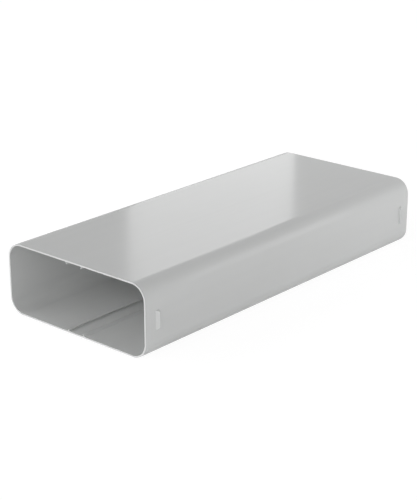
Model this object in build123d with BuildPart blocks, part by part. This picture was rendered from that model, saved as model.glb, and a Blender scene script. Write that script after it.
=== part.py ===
from build123d import *
import os

# A flat channel duct: a thin-walled flat tube with rounded corners, open at both ends.
# Sizes are in millimetres. X runs across the duct, Y along it and Z up, and the duct lies on Z = 0.
duct_width = 217.0  # outside, across the flat
duct_height = 87.0  # outside
duct_length = 500.0
wall = 1.8
corner_radius = 19.7  # outside of the four long corners

# Inside, a pair of thin ribs runs the whole length of the roof, and another that of the floor.
# The two ribs of a pair lean towards each other, so that a dovetail groove lies between them.
rib_spacing = 25.8  # between the middles of the two feet
rib_height = 2.7
rib_thickness = 1.2  # at the foot
rib_tip_thickness = 0.9
rib_lean = 2.0  # how much nearer to the middle the tip stands than the foot
rib_foot_radius = 0.4
rib_tip_radius = 0.3

# Outside, each narrow side has a wedge-shaped snap lug near each end. Its ramp rises from the side
# nearest the end and drops steeply at its back, and its flanks above and below slant.
lug_inset = 20.6  # from the end of the duct to the foot of the lug's back
lug_ramp = 4.0  # from the foot of the ramp to the crest
lug_crest = 0.5  # width of the flat on top
lug_back = 0.4  # from the crest to the foot of the back
lug_rise = 3.0  # how far the crest stands out of the side
lug_foot_height = 23.2
lug_crest_height = 18.8
lug_edge_radius = 0.25

half_width = duct_width / 2
half_height = duct_height / 2
half_length = duct_length / 2
ceiling = half_height - wall  # the inner face of the roof, above the duct's axis

with BuildPart() as duct:
    # The cross-section stands upright, centred on the duct's axis. One rib is drawn and mirrored
    # across both middle planes.
    upright = Plane((0, 0, half_height), x_dir=(1, 0, 0), z_dir=(0, -1, 0))
    with BuildSketch(upright) as section:
        RectangleRounded(duct_width, duct_height, corner_radius)
        inner_radius = corner_radius - wall
        inner_size = (duct_width - 2 * wall, duct_height - 2 * wall)
        RectangleRounded(*inner_size, inner_radius, mode=Mode.SUBTRACT)
        foot_near = (rib_spacing - rib_thickness) / 2
        foot_far = (rib_spacing + rib_thickness) / 2
        tip_near = (rib_spacing - rib_tip_thickness) / 2 - rib_lean
        tip_far = (rib_spacing + rib_tip_thickness) / 2 - rib_lean
        tip = ceiling - rib_height
        buried = ceiling + wall / 2  # the rib is drawn on into the roof, so that the two are one
        with BuildLine():
            Polyline(
                (foot_near, buried),
                (foot_near, ceiling),
                (tip_near, tip),
                (tip_far, tip),
                (foot_far, ceiling),
                (foot_far, buried),
                close=True,
            )
        make_face()
        mirror(about=Plane.YZ)
        mirror(about=Plane.XZ)
        for level, radius in ((ceiling, rib_foot_radius), (tip, rib_tip_radius)):
            near_ribs = section.vertices().filter_by_position(Axis.X, -rib_spacing, rib_spacing)
            above = near_ribs.filter_by_position(Axis.Y, level - radius / 2, level + radius / 2)
            below = near_ribs.filter_by_position(Axis.Y, -level - radius / 2, radius / 2 - level)
            fillet(above + below, radius)
    extrude(amount=half_length, both=True)

    # A lug widens from its crest to its foot on the side wall. One is drawn and mirrored to the
    # other end, and the pair is mirrored to the other side.
    lug_length = lug_ramp + lug_crest + lug_back
    foot_middle = half_length - lug_inset + lug_length / 2
    crest_middle = half_length - lug_inset + lug_back + lug_crest / 2
    with BuildSketch(Plane.YZ.offset(half_width)):
        with Locations((foot_middle, half_height)):
            Rectangle(lug_length, lug_foot_height)
    with BuildSketch(Plane.YZ.offset(half_width + lug_rise)):
        with Locations((crest_middle, half_height)):
            Rectangle(lug_crest, lug_crest_height)
    far_lug = loft()
    near_lug = mirror(far_lug, about=Plane.XZ)
    mirror([far_lug, near_lug], about=Plane.YZ)
    flats = duct.faces().filter_by(Axis.X).group_by(Axis.X)
    fillet((flats[0] + flats[-1]).edges(), lug_edge_radius)

duct.part.label = "duct"
os.makedirs("parts", exist_ok=True)
export_step(duct.part, "parts/duct.step")
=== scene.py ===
import math

import bpy
import numpy as np
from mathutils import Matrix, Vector


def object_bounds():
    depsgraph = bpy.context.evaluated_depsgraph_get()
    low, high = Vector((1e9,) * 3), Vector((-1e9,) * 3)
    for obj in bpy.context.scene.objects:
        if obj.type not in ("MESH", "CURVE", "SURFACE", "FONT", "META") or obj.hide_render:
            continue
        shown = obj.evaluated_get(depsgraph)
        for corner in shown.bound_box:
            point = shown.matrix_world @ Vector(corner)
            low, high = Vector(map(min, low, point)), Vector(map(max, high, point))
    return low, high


# A length of flat channel duct in satin grey plastic, lying on a white studio floor.
# Everything is in metres, in the part's own frame: X across the duct, Y along it, Z up.
# Azimuths are in degrees round the duct: 0 is in front of its near mouth, 90 is on its right.

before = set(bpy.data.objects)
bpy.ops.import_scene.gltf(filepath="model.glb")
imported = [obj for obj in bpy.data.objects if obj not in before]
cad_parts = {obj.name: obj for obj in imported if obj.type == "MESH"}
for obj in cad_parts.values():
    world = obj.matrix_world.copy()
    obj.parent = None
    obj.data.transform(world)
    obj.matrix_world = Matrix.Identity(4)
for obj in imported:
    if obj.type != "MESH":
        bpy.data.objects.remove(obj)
cadLow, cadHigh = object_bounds()
print("frame loaded, box", np.round([cadLow, cadHigh], 4).tolist())

scene = bpy.context.scene
scene.view_settings.view_transform = "Standard"


# A new node with its own properties set by name, and its sockets by name or number
def newNode(tree, kind, place, properties=None, sockets=None):
    node = tree.nodes.new("ShaderNode" + kind)
    node.location = place
    for name, value in (properties or {}).items():
        setattr(node, name, value)
    for name, value in (sockets or {}).items():
        node.inputs[name].default_value = value
    return node


def newMath(tree, place, operation, first, second=None):
    node = newNode(tree, "Math", place, {"operation": operation})
    for socket, value in zip(node.inputs, (first, second)):
        if isinstance(value, bpy.types.NodeSocket):
            tree.links.new(value, socket)
        elif value is not None:
            socket.default_value = value
    return node.outputs["Value"]


def emptyMaterial(name):
    material = bpy.data.materials.new(name)
    material.use_nodes = True
    material.node_tree.nodes.clear()
    return material, material.node_tree


# Camera: a long lens, held upright, looking down at the near mouth and the right side
camera = {
    "lens": 100.0,
    "place": (1.05358, -1.22981, 0.62847),
    "turn": 41.144,  # degrees to the left of straight along the duct
    "dip": 20.195,  # degrees below level
}


def addCamera():
    data = bpy.data.cameras.new("camera")
    data.lens = camera["lens"]
    holder = bpy.data.objects.new("camera", data)
    scene.collection.objects.link(holder)
    holder.location = camera["place"]
    holder.rotation_euler = (math.radians(90 - camera["dip"]), 0, math.radians(camera["turn"]))
    scene.camera = holder


addCamera()
print("camera set")

# Plastic: satin and near-neutral grey, with the faint marks of the die it was drawn through.
# Each kind of mark has its width across the duct, its length along it and its depth.
plastic = {
    "colour": (0.597, 0.604, 0.601),
    "shadeSwing": 0.014,  # how far the shade strays either way, as a share
    "roughness": 0.19,
    "roughnessSwing": 0.03,
    "ior": 1.5,
    "dieLines": {"width": 0.0009, "length": 0.25, "depth": 0.000004},
    "dieBands": {"width": 0.011, "length": 0.80, "depth": 0.000012},
    "grain": {"width": 0.0007, "length": 0.0007, "depth": 0.0000012},
    "clouds": {"width": 0.060, "length": 0.110},
    "markDetail": 2.0,  # finer octaves of noise in each of these marks
    "endShade": 1.02,  # the sawn ends are a little paler and duller than the skin
    "endRoughness": 0.42,
    "endReach": 0.00005,  # how far in from the end the sawn face is looked for
    "sawLines": {"width": 0.00025, "length": 0.030, "depth": 0.000010},
    "sawDetail": 1.0,
}
noiseMiddle = {"low": 0.3, "high": 0.7}  # noise seldom leaves this part of its range


# Noise on the duct's own coordinates, stretched to the marks' size along X, Y and Z
def markNoise(tree, coordinates, row, size, detail):
    stretch = newNode(tree, "Mapping", (-1100, row), sockets={"Scale": [1 / s for s in size]})
    noise = newNode(tree, "TexNoise", (-900, row), sockets={"Scale": 1.0, "Detail": detail})
    tree.links.new(coordinates, stretch.inputs["Vector"])
    tree.links.new(stretch.outputs["Vector"], noise.inputs["Vector"])
    return noise.outputs["Fac"]


# The middle of the noise's range is spread over low to high, and what lies beyond is cut off
def spread(tree, place, value, low, high):
    node = newNode(tree, "MapRange", place, sockets={
        "From Min": noiseMiddle["low"], "From Max": noiseMiddle["high"],
        "To Min": low, "To Max": high})
    tree.links.new(value, node.inputs["Value"])
    return node.outputs["Result"]


# A mix that holds this share of the second and the rest of the first
def blend(tree, place, share, first, second, kind="FLOAT"):
    node = newNode(tree, "Mix", place, {"data_type": kind})
    sides = [s for s in node.inputs if s.enabled]
    for socket, value in zip(sides, (share, first, second)):
        if isinstance(value, bpy.types.NodeSocket):
            tree.links.new(value, socket)
        else:
            socket.default_value = value
    return [s for s in node.outputs if s.enabled][0]


# One layer of relief on top of the normal that it is given
def relief(tree, place, height, depth, normal=None):
    node = newNode(tree, "Bump", place, sockets={"Distance": depth})
    tree.links.new(height, node.inputs["Height"])
    if normal:
        tree.links.new(normal, node.inputs["Normal"])
    return node.outputs["Normal"]


def ductPlastic():
    material, tree = emptyMaterial("ductPlastic")
    out = newNode(tree, "OutputMaterial", (900, 0))
    skin = newNode(tree, "BsdfPrincipled", (600, 0), sockets={"IOR": plastic["ior"]})
    tree.links.new(skin.outputs["BSDF"], out.inputs["Surface"])
    coordinates = newNode(tree, "TexCoord", (-1500, 0)).outputs["Object"]

    marks = {}
    for row, name in enumerate(("dieLines", "dieBands", "grain", "clouds")):
        size = plastic[name]
        drawn = (size["width"], size["length"], size["width"])
        marks[name] = markNoise(tree, coordinates, 300 - 250 * row, drawn, plastic["markDetail"])
    saw = plastic["sawLines"]
    sawn = (saw["length"], saw["width"], saw["width"])
    marks["sawLines"] = markNoise(tree, coordinates, -700, sawn, plastic["sawDetail"])

    # The sawn ends are where Y is as far from the middle as the duct goes
    along = newNode(tree, "SeparateXYZ", (-1100, 550))
    tree.links.new(coordinates, along.inputs["Vector"])
    away = newMath(tree, (-900, 550), "ABSOLUTE", along.outputs["Y"])
    onEnd = newMath(tree, (-700, 550), "GREATER_THAN", away, cadHigh[1] - plastic["endReach"])

    # Colour: the shade drifts from band to band and cloud to cloud
    def shade(share):
        return (*(share * c for c in plastic["colour"]), 1.0)

    swing = plastic["shadeSwing"]
    drift = blend(tree, (-600, 100), 0.5, marks["dieBands"], marks["clouds"])
    drift = spread(tree, (-400, 100), drift, 0.0, 1.0)
    colour = blend(tree, (-200, 200), drift, shade(1 - swing), shade(1 + swing), "RGBA")
    colour = blend(tree, (0, 250), onEnd, colour, shade(plastic["endShade"]), "RGBA")
    tree.links.new(colour, skin.inputs["Base Color"])

    # Roughness: a little more or less gloss with the grain and the bands
    low, high = (plastic["roughness"] + s * plastic["roughnessSwing"] for s in (-1, 1))
    gloss = blend(tree, (-600, -150), 0.5, marks["grain"], marks["dieBands"])
    gloss = spread(tree, (-400, -150), gloss, low, high)
    gloss = blend(tree, (-200, -150), onEnd, gloss, plastic["endRoughness"])
    tree.links.new(gloss, skin.inputs["Roughness"])

    # Relief: bands, lines and grain on the skin, and saw marks on the ends alone
    normal = None
    for step, name in enumerate(("dieBands", "dieLines", "grain")):
        place = (-400 + 200 * step, -450)
        normal = relief(tree, place, marks[name], plastic[name]["depth"], normal)
    teeth = newMath(tree, (0, -700), "MULTIPLY", marks["sawLines"], onEnd)
    normal = relief(tree, (300, -450), teeth, saw["depth"], normal)
    tree.links.new(normal, skin.inputs["Normal"])
    return material


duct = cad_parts["duct"]
duct.data.materials.clear()
duct.data.materials.append(ductPlastic())
print("plastic on the duct")


# How much of a backdrop is plain white to a ray: all of it to the camera's rays and to those
# through something clear, a share to gloss, and nothing to the rays that light the duct by it
def whiteShare(tree, place, glossShare):
    across, up = place
    path = newNode(tree, "LightPath", place)
    clear = newMath(tree, (across + 200, up), "MAXIMUM",
                    path.outputs["Is Camera Ray"], path.outputs["Is Transmission Ray"])
    gloss = newMath(tree, (across + 200, up - 200), "MULTIPLY",
                    path.outputs["Is Glossy Ray"], glossShare)
    return newMath(tree, (across + 400, up), "MAXIMUM", clear, gloss)


# Floor: a wide flat sheet, white with a soft shadow round the duct
floor = {
    "half": 6.0,
    "drop": 0.0003,  # below the duct's underside, so that no two faces share a plane
    "shade": 0.80,  # the light that it gives back to the duct
    "white": 0.92,  # what the camera sees of it in full shadow
    "lit": 0.14,  # how much of the light on it the camera sees besides
    "glossShare": 0.45,  # how much of that the duct's gloss shows, the rest being its shade
}


# The sheet is the square of side 2 * half about the middle, one face
def floorSheet():
    side = np.array([-1.0, 1.0]) * floor["half"]
    x, y = np.meshgrid(side, side)
    points = np.stack([x, y, np.full_like(x, -floor["drop"])], axis=-1).reshape(-1, 3)
    mesh = bpy.data.meshes.new("floor")
    mesh.from_pydata(points.tolist(), [], [(0, 1, 3, 2)])
    sheet = bpy.data.objects.new("floor", mesh)
    scene.collection.objects.link(sheet)
    mesh.materials.append(floorWhite())
    return sheet


def floorWhite():
    material, tree = emptyMaterial("floorWhite")
    out = newNode(tree, "OutputMaterial", (600, 0))
    pale = newNode(tree, "BsdfDiffuse", (0, 0), sockets={"Color": (*[floor["shade"]] * 3, 1.0)})
    glow = newNode(tree, "Emission", (0, -150), sockets={"Strength": floor["white"]})
    lit = newNode(tree, "BsdfDiffuse", (0, -300), sockets={"Color": (*[floor["lit"]] * 3, 1.0)})
    seen = newNode(tree, "AddShader", (200, -200))
    tree.links.new(glow.outputs[0], seen.inputs[0])
    tree.links.new(lit.outputs[0], seen.inputs[1])
    mix = newNode(tree, "MixShader", (400, 0))
    tree.links.new(whiteShare(tree, (-400, 350), floor["glossShare"]), mix.inputs["Fac"])
    tree.links.new(pale.outputs[0], mix.inputs[1])
    tree.links.new(seen.outputs[0], mix.inputs[2])
    tree.links.new(mix.outputs[0], out.inputs["Surface"])
    return material


floorSheet()
print("floor laid")

# Lamps: two flat soft boxes near the duct. The panel stands upright to its left and is what the
# top reflects, and the side box brightens the far half of the right side.
lamps = {
    "panel": {"place": (-0.2652, 0.2885, 0.26), "facing": (0.8712, -0.4909, 0.0),
              "width": 0.2685, "height": 0.28, "light": 0.96},
    "sideBox": {"place": (0.35, 0.25, 0.15), "facing": (-0.241, -0.05, -0.10),
                "width": 0.30, "height": 0.20, "light": 0.61},
}


# Light is the radiance that a white card would show if the lamp filled its whole sky
def addLamp(name, lamp):
    data = bpy.data.lights.new(name, "AREA")
    data.shape = "RECTANGLE"
    data.size, data.size_y = lamp["width"], lamp["height"]
    data.energy = lamp["light"] * math.pi * lamp["width"] * lamp["height"]
    holder = bpy.data.objects.new(name, data)
    scene.collection.objects.link(holder)
    holder.location = lamp["place"]
    holder.rotation_euler = Vector(lamp["facing"]).to_track_quat("-Z", "Y").to_euler()
    holder.visible_camera = False


for name, lamp in lamps.items():
    addLamp(name, lamp)
print("lamps:", ", ".join(lamps))

# World: white to the camera, with soft glows round the studio that light the duct
world = {
    "white": 1.0,
    "glossShare": 0.50,  # how much of the white the duct's gloss shows, the rest being the glows
    "glows": {
        "front": {"azimuth": 0, "elevation": 25, "tightness": 30, "light": 5.38},
        "frontLeft": {"azimuth": 330, "elevation": 25, "tightness": 30, "light": 3.17},
        "leftFront": {"azimuth": 300, "elevation": 25, "tightness": 30, "light": 3.74},
        "left": {"azimuth": 270, "elevation": 36, "tightness": 20, "light": 2.92},
        "frontRight": {"azimuth": 30, "elevation": 8, "tightness": 30, "light": 4.31},
        "rightFront": {"azimuth": 60, "elevation": 8, "tightness": 30, "light": 1.72},
        "right": {"azimuth": 90, "elevation": 8, "tightness": 8, "light": 1.85},
        "rear": {"azimuth": 160, "elevation": 5, "tightness": 4, "light": 1.05},
    },
}


# A glow is the cosine of the angle from its middle, raised to its tightness, times its light
def addGlow(tree, row, name, direction, glow):
    turn, rise = math.radians(glow["azimuth"]), math.radians(glow["elevation"])
    middle = (math.cos(rise) * math.sin(turn), -math.cos(rise) * math.cos(turn), math.sin(rise))
    cosine = newNode(tree, "VectorMath", (-1000, row), {"operation": "DOT_PRODUCT"}, {1: middle})
    tree.links.new(direction, cosine.inputs[0])
    front = newMath(tree, (-800, row), "MAXIMUM", cosine.outputs["Value"], 0.0)
    falloff = newMath(tree, (-600, row), "POWER", front, glow["tightness"])
    bright = newMath(tree, (-400, row), "MULTIPLY", falloff, glow["light"])
    bright.node.label = name
    return bright


def addWorld():
    studio = bpy.data.worlds.new("studio")
    scene.world = studio
    studio.use_nodes = True
    tree = studio.node_tree
    tree.nodes.clear()
    out = newNode(tree, "OutputWorld", (1450, 0))
    direction = newNode(tree, "TexCoord", (-1300, 0)).outputs["Object"]
    total = 0.0
    for step, (name, glow) in enumerate(world["glows"].items()):
        bright = addGlow(tree, -200 * step, name, direction, glow)
        total = newMath(tree, (-200 + 150 * step, 100), "ADD", total, bright)
    plain = (1.0, 1.0, 1.0, 1.0)
    light = newNode(tree, "Background", (1000, -200), sockets={"Color": plain})
    tree.links.new(total, light.inputs["Strength"])
    white = newNode(tree, "Background", (1000, -350), sockets={"Color": plain})
    white.inputs["Strength"].default_value = world["white"]
    mix = newNode(tree, "MixShader", (1250, 0))
    tree.links.new(whiteShare(tree, (600, 350), world["glossShare"]), mix.inputs["Fac"])
    tree.links.new(light.outputs[0], mix.inputs[1])
    tree.links.new(white.outputs[0], mix.inputs[2])
    tree.links.new(mix.outputs[0], out.inputs["Surface"])


addWorld()
print("world glows:", ", ".join(world["glows"]))
